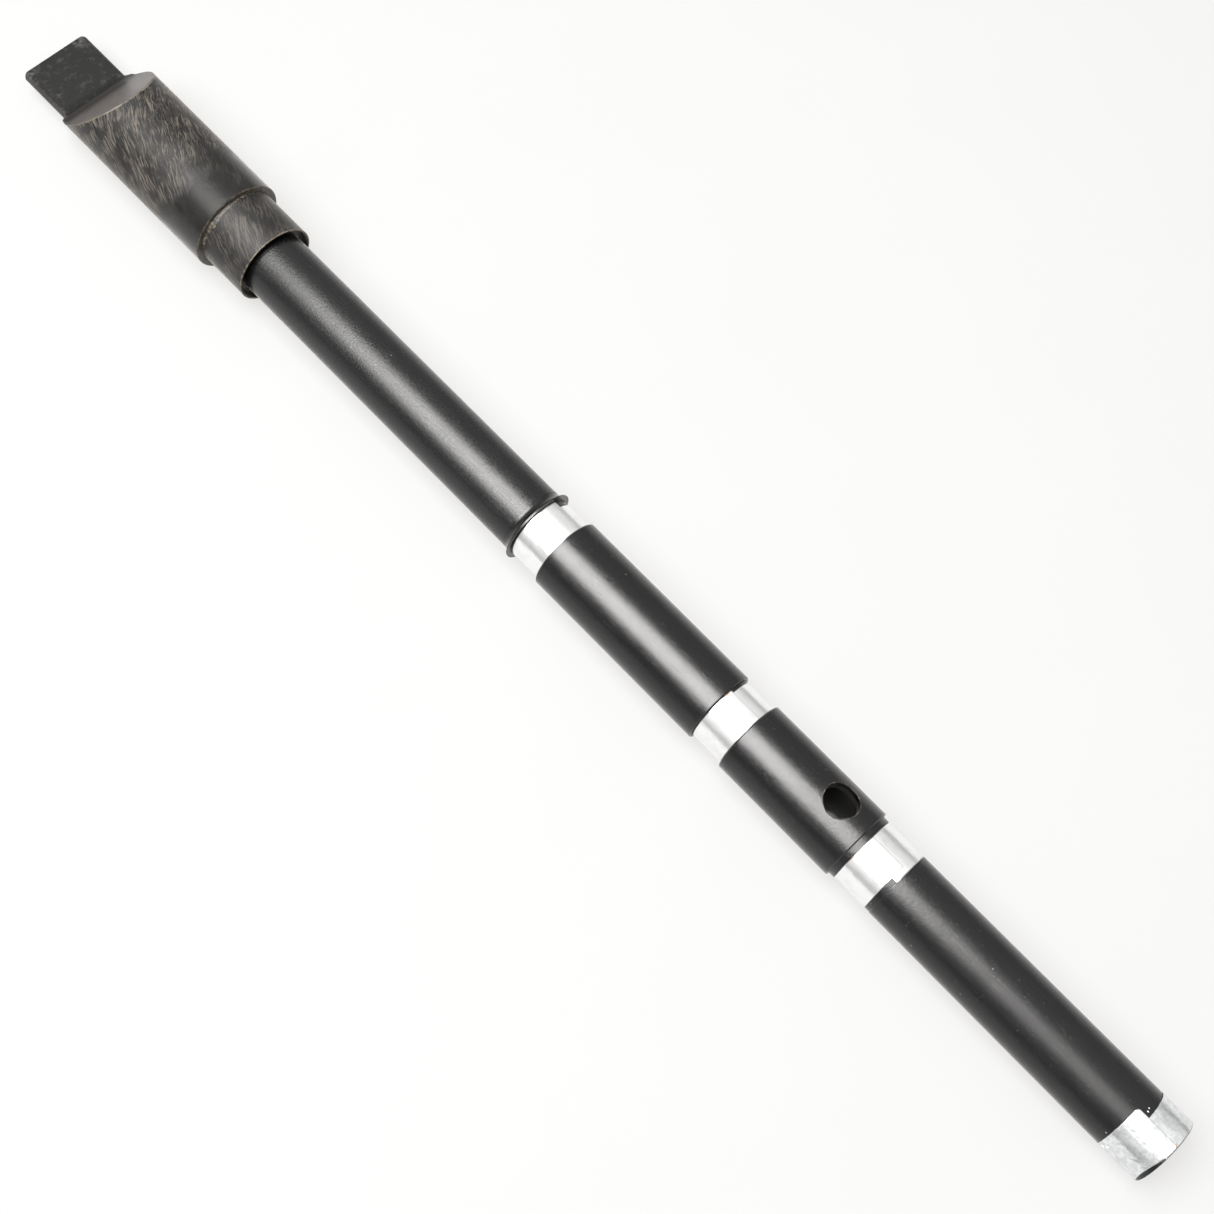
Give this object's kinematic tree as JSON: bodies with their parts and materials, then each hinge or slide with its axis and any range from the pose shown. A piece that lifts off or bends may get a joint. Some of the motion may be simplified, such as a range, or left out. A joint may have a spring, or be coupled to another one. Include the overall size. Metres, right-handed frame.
{
  "type": "low whistle",
  "caption": "Low whistle in black pipe with a sleeved, cut-beak head on a tuning slide and sections joined by metal-banded tenons that turn and pull apart.",
  "frame": {"origin": "centre of the bore's mouth at the foot end", "axes": "+X along the bore towards the mouthpiece; +Z towards the player's side, where the beak is cut and the thumb hole is; the window and finger holes face -Z"},
  "size_m": [0.5811, 0.0384, 0.0384],
  "materials": {
    "black_pipe": "black, satin, softly polished",
    "black_sleeve": "black, satin, softly polished",
    "sanded_plastic": "black, hand sanded, with lengthwise scratches",
    "bush_plastic": "dull black",
    "rubber": "dull black",
    "tenon_metal": "drawn tube, satin",
    "band_metal": "thin bright sheet, burnished by hand"
  },
  "bodies": {
    "upper_section": {"upper_pipe": "black_pipe", "upper_end_ring": "black_sleeve"},
    "slide_seals": {"slide_seal_1": "rubber", "slide_seal_2": "rubber"},
    "head": {"head_sleeve": "sanded_plastic", "head_pipe": "sanded_plastic", "fipple_block": "sanded_plastic", "slide_bush": "bush_plastic"},
    "joint_1": {"joint_1_tenon": "tenon_metal", "joint_1_collar": "black_pipe", "joint_1_band": "band_metal", "joint_1_seal_upper": "rubber", "joint_1_seal_lower": "rubber"},
    "upper_hand_section": {"upper_hand_pipe": "black_pipe", "upper_hand_sleeve": "black_sleeve"},
    "joint_2": {"joint_2_tenon": "tenon_metal", "joint_2_collar": "black_pipe", "joint_2_band": "band_metal", "joint_2_seal_upper": "rubber", "joint_2_seal_lower": "rubber"},
    "lower_hand_section": {"lower_hand_pipe": "black_pipe", "lower_hand_sleeve": "black_sleeve"},
    "joint_3": {"joint_3_tenon": "tenon_metal", "joint_3_collar": "black_pipe", "joint_3_band": "band_metal", "joint_3_seal_upper": "rubber", "joint_3_seal_lower": "rubber"},
    "foot_section": {"foot_pipe": "black_pipe", "foot_band": "band_metal"}
  },
  "joints": [
    {"name": "head_turn", "type": "hinge", "parent": "upper_section", "child": "slide_seals", "pos_m": [0.4721, 0, 0], "axis": [1, 0, 0], "continuous": true},
    {"name": "tuning_slide", "type": "slide", "parent": "slide_seals", "child": "head", "axis": [1, 0, 0], "range_m": [0, 0.015]},
    {"name": "joint_1_turn", "type": "hinge", "parent": "upper_section", "child": "joint_1", "pos_m": [0.2984, 0, 0], "axis": [1, 0, 0], "continuous": true},
    {"name": "upper_hand_pull", "type": "slide", "parent": "joint_1", "child": "upper_hand_section", "axis": [-1, 0, 0], "range_m": [0, 0.013]},
    {"name": "joint_2_turn", "type": "hinge", "parent": "upper_hand_section", "child": "joint_2", "pos_m": [0.2055, 0, 0], "axis": [1, 0, 0], "continuous": true},
    {"name": "lower_hand_pull", "type": "slide", "parent": "joint_2", "child": "lower_hand_section", "axis": [-1, 0, 0], "range_m": [0, 0.013]},
    {"name": "joint_3_turn", "type": "hinge", "parent": "lower_hand_section", "child": "joint_3", "pos_m": [0.1366, 0, 0], "axis": [1, 0, 0], "continuous": true},
    {"name": "foot_pull", "type": "slide", "parent": "joint_3", "child": "foot_section", "axis": [-1, 0, 0], "range_m": [0, 0.006]}
  ]
}
